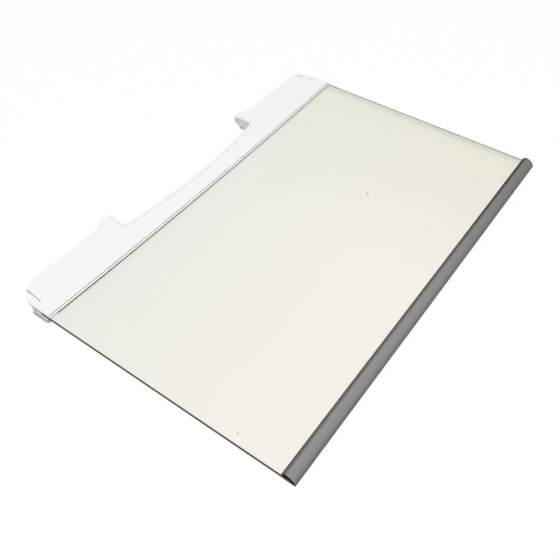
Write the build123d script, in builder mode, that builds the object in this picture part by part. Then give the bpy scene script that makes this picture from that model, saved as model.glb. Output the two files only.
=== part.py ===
"""Fridge shelf: a toughened glass pane held by a moulded rear trim and a slim front trim.

Millimetres, +Z up. X runs along the shelf's width, -Y points to the fridge door, and the origin lies
under the middle of the whole shelf, level with the underside of the rear trim.
"""

import os
from math import radians, tan

from build123d import *

os.makedirs("parts", exist_ok=True)

# Glass pane
pane_width = 474.0
pane_depth = 288.7
pane_thickness = 4.0
pane_corner_radius = 2.0
pane_arris = 0.25
fit_gap = 0.1

# Front trim: an open-ended extrusion, a low crest that laps onto the glass and a rounded nose
front_end_gap = 0.4
front_wall = 1.0
front_web = 0.9
front_cover = 9.4
front_nose = 4.4
front_crest_height = 4.4
front_crest_back = 4.6
front_back_radius = 6.0
front_face_radius = 11.5
front_crest_round = 1.5
front_lower_cover = 7.0
front_nose_drop = 3.0
front_nose_round = 1.0

# Rear trim, seen from above: reaches are measured back from the pane's rear edge
rear_cover = 15.0
end_overhang = 0.1
lip_bow = 3.3
ear_width = 130.0
ear_reach = 33.5
nose_reach = 40.5
nose_tip_width = 9.5
nose_ramp_run = 13.0
recess_side_reach = 13.8
recess_mid_reach = 5.6
end_corner_radius = 24.0
nose_foot_radius = 9.0
nose_tip_radius = 3.0
recess_corner_radius = 5.0

# Rear trim, seen in section
plate_thickness = 2.9
plate_round = 0.8
lip_step_run = 1.9
lip_step_drop = 1.5
lip_reveal = 0.9
lip_reveal_depth = 1.5
lip_undercut = 0.8
lip_undercut_depth = 5.0
lip_pad_width = 10.0
rim_height = 1.6
rim_thickness = 4.0
rim_round = 1.2
rim_end_gap = 4.5
finger_width = 7.4
finger_start = 5.5
finger_slit = 1.2
finger_slit_angle = 6.0
end_relief_width = 60.0
end_relief_start = 11.8
end_edge_depth = 0.6
end_edge_setback = 1.0
end_wall_depth = 3.3
skirt_depth = 5.7
skirt_wall = 1.8
skirt_inset = 0.2
groove_wall = 1.8
lower_flange_thickness = 2.0
lower_flange_setback = 1.65
flange_edge_thickness = 0.7
flange_edge_run = 1.4
cheek_cover = 9.5
chin_radius = 3.2
end_slot_reach = 8.5
rib_thickness = 1.6
rib_pitch = 34.0
rib_count = 13
rib_rise = 1.5
lug_slope_start = 27.0
lug_slope_angle = 24.0

# Places that follow from the sizes above
shelf_depth = front_nose + pane_depth + nose_reach
pane_front_y = front_nose - shelf_depth / 2
pane_rear_y = pane_front_y + pane_depth
pane_bottom_z = skirt_depth + fit_gap
pane_top_z = pane_bottom_z + pane_thickness
half_width = pane_width / 2
end_x = half_width + end_overhang

# Glass pane: one flat sheet with small rounded corners and ground arrises
with BuildPart() as glass_pane:
    with BuildSketch(Plane.XY.offset(pane_bottom_z)):
        with Locations((0, (pane_front_y + pane_rear_y) / 2)):
            RectangleRounded(pane_width, pane_depth, pane_corner_radius)
    extrude(amount=pane_thickness)
    chamfer(glass_pane.faces().filter_by(Axis.Z).edges(), pane_arris)

# Front trim: one section in the YZ plane, a domed shell round a channel for the pane, run its full width
front_lip_y = pane_front_y + front_cover
front_lower_lip_y = pane_front_y + front_lower_cover
front_nose_y = pane_front_y - front_nose
slot_front_y = pane_front_y - fit_gap
slot_bottom_z = pane_bottom_z - fit_gap
slot_top_z = pane_top_z + fit_gap
slot_height = slot_top_z - slot_bottom_z
front_bottom_z = slot_bottom_z - front_wall
front_lip = (front_lip_y, slot_top_z + front_web)
crest = (front_lip_y - front_crest_back, pane_top_z + front_crest_height)
nose_tip = (front_nose_y, pane_top_z - front_nose_drop)
with BuildPart() as front_trim:
    with BuildSketch(Plane.YZ) as front_section:
        with BuildLine():
            Polyline(
                (front_nose_y, front_bottom_z),
                (front_lower_lip_y, front_bottom_z),
                (front_lower_lip_y, slot_bottom_z),
                (front_lip_y, slot_top_z),
                front_lip,
            )
            RadiusArc(front_lip, crest, -front_back_radius)
            RadiusArc(crest, nose_tip, -front_face_radius)
            Line(nose_tip, (front_nose_y, front_bottom_z))
        make_face()
        fillet(front_section.vertices().sort_by(Axis.Y)[-1], front_crest_round)
        fillet(front_section.vertices().group_by(Axis.X)[0], front_nose_round)
        offset(amount=-front_wall, mode=Mode.SUBTRACT)
        with Locations((slot_front_y - front_web, slot_bottom_z)):
            Rectangle(front_lip_y - slot_front_y + front_web, slot_height + front_web, align=Align.MIN)
        with Locations((slot_front_y, slot_bottom_z)):
            Rectangle(front_lip_y - slot_front_y, slot_height, align=Align.MIN, mode=Mode.SUBTRACT)
    extrude(amount=half_width - front_end_gap, both=True)

# Rear trim's outline from above: bowed lip, round rear corners, two ears with a hooked nose and
# between them a recess with a shallow arc, so that cold air can pass behind the shelf
lip_end_y = pane_rear_y - rear_cover
ear_y = pane_rear_y + ear_reach
nose_y = pane_rear_y + nose_reach
ear_x = half_width - ear_width
recess_side_y = pane_rear_y + recess_side_reach
recess_mid_y = pane_rear_y + recess_mid_reach
nose_outer_x = ear_x + nose_tip_width
nose_foot_x = nose_outer_x + nose_ramp_run


def corners(sketch, x, y):
    """The sketch's two mirrored corners at (x, y) and (-x, y)."""
    return [v for v in sketch.vertices() if abs(abs(v.X) - x) < 1e-4 and abs(v.Y - y) < 1e-4]


with BuildSketch() as outline:
    with BuildLine():
        ThreePointArc((-end_x, lip_end_y), (0, lip_end_y - lip_bow), (end_x, lip_end_y))
        for side in (-1, 1):
            Polyline(
                (side * end_x, lip_end_y),
                (side * end_x, ear_y),
                (side * nose_foot_x, ear_y),
                (side * nose_outer_x, nose_y),
                (side * ear_x, nose_y),
                (side * ear_x, recess_side_y),
            )
        ThreePointArc((-ear_x, recess_side_y), (0, recess_mid_y), (ear_x, recess_side_y))
    make_face()
    fillet(corners(outline, end_x, ear_y), end_corner_radius)
    fillet(corners(outline, nose_foot_x, ear_y), nose_foot_radius)
    fillet(corners(outline, nose_outer_x, nose_y), nose_tip_radius)
    fillet(corners(outline, ear_x, nose_y), nose_tip_radius)
    fillet(corners(outline, ear_x, recess_side_y), recess_corner_radius)

plate_bottom_z = slot_top_z
plate_top_z = plate_bottom_z + plate_thickness
rim_top_z = plate_top_z + rim_height
groove_rear_y = pane_rear_y + fit_gap
groove_wall_rear_y = groove_rear_y + groove_wall
cheek_front_y = pane_rear_y - cheek_cover
rim_x = ear_x + rim_thickness
rim_length = nose_y - rim_end_gap - pane_rear_y
slit_front_y = pane_rear_y + finger_start
slit_x = end_x - finger_width
pad_x = end_x - lip_pad_width
relief_y = pane_rear_y + end_relief_start
skirt_x = end_x - skirt_inset
slope_y = pane_rear_y + lug_slope_start
slope_rise = (nose_y - slope_y) * tan(radians(lug_slope_angle))

# Floor of the plate inside the rim
with BuildSketch() as plate_floor:
    add(outline.sketch)
    offset(amount=-rim_thickness, mode=Mode.REPLACE)

# Strip along the outline that stands out over the wall round the end corners
with BuildSketch() as end_edge:
    add(outline.sketch)
    offset(amount=-end_edge_setback, mode=Mode.SUBTRACT)

# Ground that the skirt stands on, behind the pane
with BuildSketch() as skirt_ground:
    add(outline.sketch)
    offset(amount=-skirt_inset, mode=Mode.REPLACE)
    with Locations((0, groove_rear_y)):
        Rectangle(2 * end_x, shelf_depth, align=(Align.CENTER, Align.MIN), mode=Mode.INTERSECT)

with BuildPart() as rear_trim:
    # Top plate with a rounded rear edge
    with BuildSketch(Plane.XY.offset(plate_bottom_z)):
        add(outline.sketch)
    extrude(amount=plate_thickness)
    fillet(rear_trim.faces().sort_by(Axis.Z)[-1].edges().sort_by(Axis.Y)[1:], plate_round)

    # Step down to the bowed lip, with a shadow reveal under the plate's edge
    with BuildSketch(Plane.XY.offset(plate_top_z)):
        add(outline.sketch)
        add(outline.sketch.moved(Location((0, lip_step_run))), mode=Mode.SUBTRACT)
    extrude(amount=-lip_step_drop, mode=Mode.SUBTRACT)
    with BuildSketch(Plane.XY.offset(plate_top_z - lip_step_drop)):
        add(outline.sketch.moved(Location((0, lip_step_run))))
        add(outline.sketch.moved(Location((0, lip_step_run + lip_reveal_depth))), mode=Mode.SUBTRACT)
    extrude(amount=lip_reveal, mode=Mode.SUBTRACT)

    # Shadow gap under the lip, which touches the glass only at a pad near each end
    with BuildSketch(Plane.XY.offset(plate_bottom_z)):
        with Locations((0, lip_end_y + lip_undercut_depth)):
            Rectangle(
                2 * pad_x,
                2 * (lip_undercut_depth + lip_bow),
                align=(Align.CENTER, Align.MAX),
            )
    extrude(amount=lip_undercut, mode=Mode.SUBTRACT)

    # Raised rim round the recess and up the inner side of each ear, with a rounded top
    with BuildSketch(Plane.XY.offset(plate_bottom_z)):
        add(outline.sketch)
        add(plate_floor.sketch, mode=Mode.SUBTRACT)
        with Locations((0, pane_rear_y)):
            Rectangle(2 * rim_x, rim_length, align=(Align.CENTER, Align.MIN), mode=Mode.INTERSECT)
    extrude(amount=plate_thickness + rim_height)
    fillet(rear_trim.edges().group_by(Axis.Z)[-1], rim_round)

    # Hollow underside: a skirt along the edge, the wall that stops the pane, and ribs between them
    with BuildSketch():
        add(skirt_ground.sketch)
        offset(amount=-skirt_wall, mode=Mode.SUBTRACT)
    extrude(amount=plate_bottom_z)
    with BuildSketch():
        with Locations((0, groove_rear_y)):
            Rectangle(2 * skirt_x, groove_wall, align=(Align.CENTER, Align.MIN))
    extrude(amount=plate_bottom_z)
    with BuildSketch(Plane.XY.offset(rib_rise)):
        with GridLocations(rib_pitch, 0, rib_count, 1):
            Rectangle(rib_thickness, 2 * shelf_depth)
        add(skirt_ground.sketch, mode=Mode.INTERSECT)
    extrude(amount=plate_bottom_z - rib_rise)

    # Lower flange that carries the pane: it has a thin front edge, and at the ends, under the lip's
    # pads, it is cut back to the cheeks
    for setback, thickness in (
        (lower_flange_setback, flange_edge_thickness),
        (lower_flange_setback + flange_edge_run, lower_flange_thickness),
    ):
        with BuildSketch(Plane.XY.offset(slot_bottom_z)):
            add(outline.sketch.moved(Location((0, setback))))
            with Locations((0, groove_wall_rear_y)):
                Rectangle(2 * pad_x, shelf_depth, align=(Align.CENTER, Align.MAX), mode=Mode.INTERSECT)
        extrude(amount=-thickness)
    with BuildSketch(Plane.XY.offset(slot_bottom_z)):
        with Locations((0, groove_wall_rear_y)):
            Rectangle(2 * skirt_x, groove_wall_rear_y - cheek_front_y, align=(Align.CENTER, Align.MAX))
    extrude(amount=-lower_flange_thickness)

    # Cheek with a rounded chin under each end of the flange
    for side in (-1, 1):
        with BuildSketch(Plane.YZ.offset(side * skirt_x)) as cheek:
            with Locations((cheek_front_y, 0)):
                Rectangle(groove_wall_rear_y - cheek_front_y, slot_bottom_z, align=Align.MIN)
            fillet(cheek.vertices().group_by(Axis.X)[0].sort_by(Axis.Y)[0], chin_radius)
        extrude(amount=-side * skirt_wall)

    # Slot in each end of the skirt, in line with the pane
    for side in (-1, 1):
        with BuildSketch(Plane.YZ.offset(side * end_x)):
            with Locations((groove_rear_y, slot_bottom_z)):
                Rectangle(end_slot_reach, slot_height, align=Align.MIN)
        extrude(amount=-side * (skirt_inset + skirt_wall), mode=Mode.SUBTRACT)

    # Shallow edge round each end's rear corner, with a low wall set back under it
    for ground, depth in ((outline, end_wall_depth), (end_edge, end_edge_depth)):
        with BuildSketch():
            for side in (-1, 1):
                with Locations((side * end_x, relief_y)):
                    Rectangle(2 * end_relief_width, shelf_depth, align=(Align.CENTER, Align.MIN))
            add(ground.sketch, mode=Mode.INTERSECT)
        extrude(amount=plate_bottom_z - depth, mode=Mode.SUBTRACT)

    # Slanting slit at each end, which leaves a springy finger that steadies the shelf in the liner
    with BuildSketch():
        for side in (-1, 1):
            with Locations((side * slit_x, slit_front_y)):
                Rectangle(finger_slit, shelf_depth, side * finger_slit_angle, (Align.CENTER, Align.MIN))
    extrude(amount=plate_top_z, mode=Mode.SUBTRACT)

    # Underside of the ears, sloping up to the nose so that the shelf can be tipped in
    with BuildSketch(Plane.YZ):
        with BuildLine():
            Polyline((slope_y, 0), (nose_y, slope_rise), (nose_y, 0), close=True)
        make_face()
    extrude(amount=end_x, both=True, mode=Mode.SUBTRACT)

glass_pane.part.label = "glass_pane"
front_trim.part.label = "front_trim"
rear_trim.part.label = "rear_trim"
export_step(glass_pane.part, "parts/glass_pane.step")
export_step(front_trim.part, "parts/front_trim.step")
export_step(rear_trim.part, "parts/rear_trim.step")
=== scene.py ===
"""Fridge shelf: a glass pane between a white moulded rear trim and a slim silver-grey front trim."""

from math import radians

import bmesh
import bpy
from mathutils.bvhtree import BVHTree
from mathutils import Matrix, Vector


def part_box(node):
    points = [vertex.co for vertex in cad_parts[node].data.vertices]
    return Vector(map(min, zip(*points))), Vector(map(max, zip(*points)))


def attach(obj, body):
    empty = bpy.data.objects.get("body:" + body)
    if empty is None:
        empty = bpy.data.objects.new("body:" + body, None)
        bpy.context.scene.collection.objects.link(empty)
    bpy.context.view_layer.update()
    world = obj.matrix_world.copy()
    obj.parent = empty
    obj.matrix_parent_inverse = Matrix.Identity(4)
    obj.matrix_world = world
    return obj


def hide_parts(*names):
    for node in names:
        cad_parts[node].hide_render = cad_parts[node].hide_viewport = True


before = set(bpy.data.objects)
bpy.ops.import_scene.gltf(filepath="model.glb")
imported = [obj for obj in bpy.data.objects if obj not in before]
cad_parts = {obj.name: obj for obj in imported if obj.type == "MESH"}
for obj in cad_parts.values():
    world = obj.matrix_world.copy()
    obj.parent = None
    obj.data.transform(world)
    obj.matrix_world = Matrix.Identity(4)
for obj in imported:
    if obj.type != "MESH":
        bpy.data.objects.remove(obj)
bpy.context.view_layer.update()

# Glass pane: one flat sheet of clear toughened float glass, faintly tinted, with rough ground edges. Its
# tint is painted darker towards the right and the rear as painted shade, and a grey band along the far
# right edge is painted shade too.
# It lies in the rear trim's groove and the front trim's channel. The glass inside the channel is painted
# near-black as painted shade. A few specks of dust lie on the top face.
pane_low, pane_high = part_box("glass_pane")
glass_ior = 1.52
float_roughness = 0.01
# Painted shade: the tint darkens towards the right and the rear, for light that falls off across the
# pane.
rear_left_tint_and_shade = (0.828, 0.869, 0.798, 1.0)
rear_right_tint_and_shade = (0.79, 0.82, 0.72, 1.0)
front_left_tint_and_shade = (0.936, 0.91, 0.838, 1.0)
front_right_tint_and_shade = (0.82, 0.812, 0.7, 1.0)
front_tint_and_shade_y = pane_low.y * 0.6
# Painted shade: a grey-green band along the far right edge of the pane.
far_band_start = 0.011
far_band_full = 0.006
far_band_shade = (0.66, 0.68, 0.6, 1.0)
# Painted shade: near-black on the glass inside the front trim's channel. The ground edges' random pits
# share this colour.
channel_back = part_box("front_trim")[1].y
channel_fade = 0.0005
channel_shade_and_pit_black = (0.002, 0.002, 0.002, 1.0)
speck_tint = (0.004, 0.004, 0.003, 1.0)
speck_core = 0.7
dust_specks = (
    (0.0829, -0.0389, 0.0011), (-0.2283, -0.1032, 0.0007), (0.1791, -0.125, 0.0007),
    (0.0714, -0.1162, 0.0006), (-0.1848, -0.0688, 0.0005),
)
# Painted shade and painted light: the left ground edge is dark and the right one pale. A real pane's two
# edges are alike.
left_edge_shade = (0.016, 0.017, 0.013, 1.0)
right_edge_light = (0.98, 0.99, 0.94, 1.0)
ground_cells = 2500.0
ground_depth = 0.00002
ground_pits = 0.15
ground_roughness = (0.5, 0.65)
ground_gloss = 0.1
ground_clearness = 0.7
top_or_bottom = 0.9
even = (1.0, 1.0, 1.0)
cell_range = (0.3, 0.7)
cell_detail = 3.0
merge_reach = 1e-6
crisp_edge = radians(35)
flat_weight = 100


def finish_of(name):
    """A new material by that name, as (material, its nodes, its links, its Principled shader)."""
    material = bpy.data.materials.new(name)
    material.use_nodes = True
    nodes = material.node_tree.nodes
    return material, nodes, material.node_tree.links, nodes["Principled BSDF"]


def place_of(nodes, links):
    """The surface point in Object coordinates, as (its vector socket, its X, Y and Z sockets by name)."""
    place = nodes.new("ShaderNodeTexCoord")
    split = nodes.new("ShaderNodeSeparateXYZ")
    links.new(place.outputs["Object"], split.inputs["Vector"])
    return place.outputs["Object"], split.outputs


def spread(nodes, links, value, low, high, at_low, at_high):
    """Socket that runs from at_low to at_high while value runs from low to high, held at both ends."""
    node = nodes.new("ShaderNodeMapRange")
    for name, number in (("From Min", low), ("From Max", high), ("To Min", at_low), ("To Max", at_high)):
        node.inputs[name].default_value = number
    links.new(value, node.inputs["Value"])
    return node.outputs["Result"]


def mixed(nodes, links, share, a, b):
    """Colour socket a*(1 - share) + b*share, where a and b are colours or colour sockets."""
    node = nodes.new("ShaderNodeMix")
    node.data_type = "RGBA"
    links.new(share, node.inputs["Factor"])
    for socket, colour in ((node.inputs[6], a), (node.inputs[7], b)):
        if isinstance(colour, tuple):
            socket.default_value = colour
        else:
            links.new(colour, socket)
    return node.outputs[2]


def grain(nodes, links, shader, scale, stretch, depth):
    """Bump of noise: scale cells a metre, stretched per axis, depth metres high. Returns the noise."""
    place = nodes.new("ShaderNodeTexCoord")
    stretched = nodes.new("ShaderNodeMapping")
    stretched.inputs["Scale"].default_value = stretch
    links.new(place.outputs["Object"], stretched.inputs["Vector"])
    noise = nodes.new("ShaderNodeTexNoise")
    noise.inputs["Scale"].default_value = scale
    noise.inputs["Detail"].default_value = cell_detail
    links.new(stretched.outputs["Vector"], noise.inputs["Vector"])
    bump = nodes.new("ShaderNodeBump")
    bump.inputs["Distance"].default_value = depth
    links.new(noise.outputs["Fac"], bump.inputs["Height"])
    links.new(bump.outputs["Normal"], shader.inputs["Normal"])
    return noise.outputs["Fac"]


def smooth_copy(node, name, material):
    """A copy of a CAD node that stands for it: triangles joined, and shaded smooth up to a crisp edge."""
    mesh = bpy.data.meshes.new(name)
    joined = bmesh.new()
    joined.from_mesh(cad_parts[node].data)
    bmesh.ops.remove_doubles(joined, verts=joined.verts, dist=merge_reach)
    for face in joined.faces:
        face.smooth = True
    joined.to_mesh(mesh)
    joined.free()
    mesh.set_sharp_from_angle(angle=crisp_edge)
    mesh.materials.clear()
    mesh.materials.append(material)
    piece = bpy.data.objects.new(name, mesh)
    bpy.context.scene.collection.objects.link(piece)
    flats = piece.modifiers.new("flats", "WEIGHTED_NORMAL")
    flats.keep_sharp = True
    flats.weight = flat_weight
    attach(piece, "root")
    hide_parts(node)
    return piece


glass, nodes, links, shader = finish_of("clear_glass")
point, axes = place_of(nodes, links)
# Painted shade: the tint is mixed from the four corners, darker to the right and the rear.
across = spread(nodes, links, axes["X"], 0.0, pane_high.x, 0.0, 1.0)
forward = spread(nodes, links, axes["Y"], pane_high.y, front_tint_and_shade_y, 0.0, 1.0)
rear = mixed(nodes, links, across, rear_left_tint_and_shade, rear_right_tint_and_shade)
front = mixed(nodes, links, across, front_left_tint_and_shade, front_right_tint_and_shade)
tint_and_shade = mixed(nodes, links, forward, rear, front)
# Painted shade: the band along the far right edge.
band_start, band_full = pane_high.x - far_band_start, pane_high.x - far_band_full
far = spread(nodes, links, axes["X"], band_start, band_full, 0.0, 1.0)
tint_and_shade = mixed(nodes, links, far, tint_and_shade, far_band_shade)
for x, y, radius in dust_specks:
    away = nodes.new("ShaderNodeVectorMath")
    away.operation = "DISTANCE"
    links.new(point, away.inputs[0])
    away.inputs[1].default_value = (x, y, pane_high.z)
    speck = spread(nodes, links, away.outputs["Value"], radius * speck_core, radius, 1.0, 0.0)
    tint_and_shade = mixed(nodes, links, speck, tint_and_shade, speck_tint)
# Painted shade: the glass turns near-black inside the front trim's channel.
in_channel = spread(nodes, links, axes["Y"], channel_back, channel_back - channel_fade, 0.0, 1.0)
links.new(mixed(nodes, links, in_channel, tint_and_shade, channel_shade_and_pit_black), shader.inputs["Base Color"])
shader.inputs["Roughness"].default_value = float_roughness
shader.inputs["Transmission Weight"].default_value = 1.0
shader.inputs["IOR"].default_value = glass_ior

ground, nodes, links, shader = finish_of("ground_edge")
cells = grain(nodes, links, shader, ground_cells, even, ground_depth)
axes = place_of(nodes, links)[1]
# Painted shade to painted light across the pane: dark left edge, pale right edge.
across = spread(nodes, links, axes["X"], pane_low.x, pane_high.x, 0.0, 1.0)
edge = mixed(nodes, links, across, left_edge_shade, right_edge_light)
pits = spread(nodes, links, cells, *cell_range, 0.0, ground_pits)
edge = mixed(nodes, links, pits, edge, channel_shade_and_pit_black)
# Painted shade: the ground edges turn near-black inside the front trim's channel.
in_channel = spread(nodes, links, axes["Y"], channel_back, channel_back - channel_fade, 0.0, 1.0)
links.new(mixed(nodes, links, in_channel, edge, channel_shade_and_pit_black), shader.inputs["Base Color"])
links.new(spread(nodes, links, cells, *cell_range, *ground_roughness), shader.inputs["Roughness"])
shader.inputs["Specular IOR Level"].default_value = ground_gloss
shader.inputs["Transmission Weight"].default_value = ground_clearness
shader.inputs["IOR"].default_value = glass_ior

pane = smooth_copy("glass_pane", "pane_sheet", glass)
pane.data.materials.append(ground)
for face in pane.data.polygons:
    if abs(face.normal.z) < top_or_bottom:
        face.material_index = 1

# Rear trim: one white injection moulding with a satin skin, pushed onto the pane's rear edge. Its lip
# is bowed and lies on the glass at both ends, with a rim round the recess between the ears. Grooves
# and creases above the glass are painted slightly greyer, as painted shade.
white_dark = (0.885, 0.885, 0.885, 1.0)
white_pale = (0.905, 0.905, 0.905, 1.0)
white_cells = 900.0
white_depth = 0.00003
white_roughness = (0.36, 0.44)
crease_reach = 0.0025
crease_range = (0.35, 0.9)
crease_shade_grey = (0.76, 0.76, 0.75, 1.0)
crease_fade = 0.0005

white, nodes, links, shader = finish_of("white_moulding")
cells = grain(nodes, links, shader, white_cells, even, white_depth)
skin = mixed(nodes, links, cells, white_dark, white_pale)
# Painted shade: the skin turns greyer above the glass where ambient occlusion finds a nearby wall.
crease = nodes.new("ShaderNodeAmbientOcclusion")
crease.inputs["Distance"].default_value = crease_reach
creased = spread(nodes, links, crease.outputs["AO"], *crease_range, 1.0, 0.0)
axes = place_of(nodes, links)[1]
above_glass = spread(nodes, links, axes["Z"], pane_high.z, pane_high.z + crease_fade, 0.0, 1.0)
crease_shade = mixed(nodes, links, above_glass, skin, crease_shade_grey)
links.new(mixed(nodes, links, creased, skin, crease_shade), shader.inputs["Base Color"])
links.new(spread(nodes, links, cells, *cell_range, *white_roughness), shader.inputs["Roughness"])
smooth_copy("rear_trim", "rear_moulding", white)

# Front trim: one extrusion with open ends, pushed onto the pane's front edge. A silver-grey skin lies
# over a dark core, which shows at the sawn ends; the faces inside the hollow get the same near-black
# as painted shade. The skin is painted darker towards the right, down the rear flank, at the nose and
# at the right end, all as painted shade, and the die leaves faint streaks along it.
trim_low, trim_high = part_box("front_trim")
# Painted shade: the skin darkens from skin_turn_x to the right end.
skin_left = (0.27, 0.264, 0.265, 1.0)
skin_right_shaded = (0.19, 0.186, 0.184, 1.0)
skin_turn_x = trim_low.x * 0.2
crest_y = trim_high.y - 0.005
# Painted shade: darker down the rear flank, most at the right end.
flank_run = 0.0026
flank_shade_left = (0.113, 0.112, 0.104, 1.0)
flank_shade_right = (0.012, 0.012, 0.01, 1.0)
# Painted shade: darker at the nose.
nose_run = 0.003
nose_shade_grey = (0.15, 0.147, 0.149, 1.0)
# Painted shade: darker at the right end.
end_run = 0.003
end_shade_grey = (0.05, 0.049, 0.047, 1.0)
streak_cells = 1200.0
streak_stretch = (0.02, 1.0, 1.0)
streak_depth = 0.00002
streak_range = (0.4, 0.7)
streak_share = 0.1
pale_streak = (0.4, 0.4, 0.4, 1.0)
skin_roughness = (0.4, 0.5)
# Near-black: a dark core at the sawn ends, and painted shade on the faces inside the hollow.
core_and_shade_dark = (0.01, 0.01, 0.01, 1.0)
core_and_shade_pale = (0.016, 0.016, 0.015, 1.0)
core_cells = 1500.0
core_depth = 0.00003
core_roughness = 0.7
trim_gloss = 0.08
sawn_end = 0.9
clear_of_face = 1e-5
channel_reach = 0.02


def bare_core_and_shade_hollow(piece, near_black):
    """Gives the near-black material to the sawn ends, which look along X, and as painted shade to the
    faces that look at another wall of the same piece.
    """
    mesh = piece.data
    mesh.materials.append(near_black)
    walls = BVHTree.FromPolygons([v.co for v in mesh.vertices], [f.vertices for f in mesh.polygons])
    for face in mesh.polygons:
        start = face.center + face.normal * clear_of_face
        met = walls.ray_cast(start, face.normal, channel_reach)[0]
        if met is not None or abs(face.normal.x) > sawn_end:
            face.material_index = 1


grey, nodes, links, shader = finish_of("silver_grey_skin")
streaks = grain(nodes, links, shader, streak_cells, streak_stretch, streak_depth)
axes = place_of(nodes, links)[1]
along = spread(nodes, links, axes["X"], skin_turn_x, trim_high.x, 0.0, 1.0)
on_flank = spread(nodes, links, axes["Y"], crest_y, crest_y + flank_run, 0.0, 1.0)
on_nose = spread(nodes, links, axes["Y"], trim_low.y + nose_run, trim_low.y, 0.0, 1.0)
at_end = spread(nodes, links, axes["X"], trim_high.x - end_run, trim_high.x, 0.0, 1.0)
shaded_coat = mixed(nodes, links, along, skin_left, skin_right_shaded)
flank_shade = mixed(nodes, links, along, flank_shade_left, flank_shade_right)
shaded_coat = mixed(nodes, links, on_flank, shaded_coat, flank_shade)
shaded_coat = mixed(nodes, links, on_nose, shaded_coat, nose_shade_grey)
shaded_coat = mixed(nodes, links, at_end, shaded_coat, end_shade_grey)
streaked = spread(nodes, links, streaks, *streak_range, 0.0, streak_share)
links.new(mixed(nodes, links, streaked, shaded_coat, pale_streak), shader.inputs["Base Color"])
links.new(spread(nodes, links, streaks, *cell_range, *skin_roughness), shader.inputs["Roughness"])
shader.inputs["Specular IOR Level"].default_value = trim_gloss

black, nodes, links, shader = finish_of("dark_core_and_hollow_shade")
cells = grain(nodes, links, shader, core_cells, even, core_depth)
links.new(mixed(nodes, links, cells, core_and_shade_dark, core_and_shade_pale), shader.inputs["Base Color"])
shader.inputs["Roughness"].default_value = core_roughness
shader.inputs["Specular IOR Level"].default_value = trim_gloss
bare_core_and_shade_hollow(smooth_copy("front_trim", "front_extrusion", grey), black)

# Studio: a pale floor under the shelf, an even white surround and one soft lamp high overhead. The
# floor and the surround are white where the camera sees them, directly, in gloss or through glass,
# and the floor keeps a share of the light on it, with the shelf's shadow.
floor_half = 3.0
floor_grey = (0.65, 0.65, 0.65, 1.0)
floor_glow = 1.03
glow_share = 0.9
contact_reach = 0.0025
contact_depth = 3.0
surround_white = (1.0, 1.0, 1.0, 1.0)
surround_light = 0.4
lamp_size = 0.9
lamp_watts = 69.0
lamp_place = (-0.55, -0.5, 3.2)
lamp_turn = (radians(8.8), radians(-9.8), 0.0)

floor_mesh = bpy.data.meshes.new("floor")
corners = [(x * floor_half, y * floor_half, 0) for x, y in ((-1, -1), (1, -1), (1, 1), (-1, 1))]
floor_mesh.from_pydata(corners, [], [(0, 1, 2, 3)])
floor = bpy.data.objects.new("floor", floor_mesh)
bpy.context.scene.collection.objects.link(floor)


def seen_directly(nodes, links):
    """Socket that is 1 on rays from the camera, off gloss or through glass, and 0 on other rays."""
    path = nodes.new("ShaderNodeLightPath")
    seen = path.outputs["Is Camera Ray"]
    for name in ("Is Glossy Ray", "Is Transmission Ray"):
        either = nodes.new("ShaderNodeMath")
        either.operation = "MAXIMUM"
        links.new(seen, either.inputs[0])
        links.new(path.outputs[name], either.inputs[1])
        seen = either.outputs[0]
    return seen


pale, nodes, links, shader = finish_of("pale_floor")
shader.inputs["Base Color"].default_value = floor_grey
shader.inputs["Roughness"].default_value = 1.0
shader.inputs["Specular IOR Level"].default_value = 0.0
glow = nodes.new("ShaderNodeEmission")
glow.inputs["Strength"].default_value = floor_glow
# Painted contact shadow: the floor's glow darkens where ambient occlusion finds the shelf within
# contact_reach.
contact = nodes.new("ShaderNodeAmbientOcclusion")
contact.inputs["Distance"].default_value = contact_reach
contact_shadow = nodes.new("ShaderNodeMath")
contact_shadow.operation = "POWER"
links.new(contact.outputs["AO"], contact_shadow.inputs[0])
contact_shadow.inputs[1].default_value = contact_depth
links.new(contact_shadow.outputs[0], glow.inputs["Color"])
keep_shadow = nodes.new("ShaderNodeMath")
keep_shadow.operation = "MULTIPLY"
keep_shadow.inputs[1].default_value = glow_share
links.new(seen_directly(nodes, links), keep_shadow.inputs[0])
blend = nodes.new("ShaderNodeMixShader")
links.new(keep_shadow.outputs[0], blend.inputs["Fac"])
links.new(shader.outputs["BSDF"], blend.inputs[1])
links.new(glow.outputs["Emission"], blend.inputs[2])
links.new(blend.outputs["Shader"], nodes["Material Output"].inputs["Surface"])
floor_mesh.materials.append(pale)

world = bpy.data.worlds.new("white_surround")
world.use_nodes = True
bpy.context.scene.world = world
nodes, links = world.node_tree.nodes, world.node_tree.links
surround = nodes["Background"]
surround.inputs["Color"].default_value = surround_white
strength = spread(nodes, links, seen_directly(nodes, links), 0.0, 1.0, surround_light, 1.0)
links.new(strength, surround.inputs["Strength"])

lamp_data = bpy.data.lights.new("soft_lamp", "AREA")
lamp_data.shape = "DISK"
lamp_data.size = lamp_size
lamp_data.energy = lamp_watts
lamp = bpy.data.objects.new("soft_lamp", lamp_data)
lamp.visible_glossy = False
lamp.visible_transmission = False
lamp.location = lamp_place
lamp.rotation_euler = lamp_turn
bpy.context.scene.collection.objects.link(lamp)

# Camera: in front of the shelf, to its left and above it.
camera_data = bpy.data.cameras.new("camera")
camera_data.sensor_width = 36.0
camera_data.lens = 43.947
camera = bpy.data.objects.new("camera", camera_data)
camera.location = (-0.42748, -0.29285, 0.51146)
camera.rotation_euler = (radians(41.127), radians(0.292), radians(-54.163))
bpy.context.scene.collection.objects.link(camera)
bpy.context.scene.camera = camera
bpy.context.scene.view_settings.view_transform = "Standard"
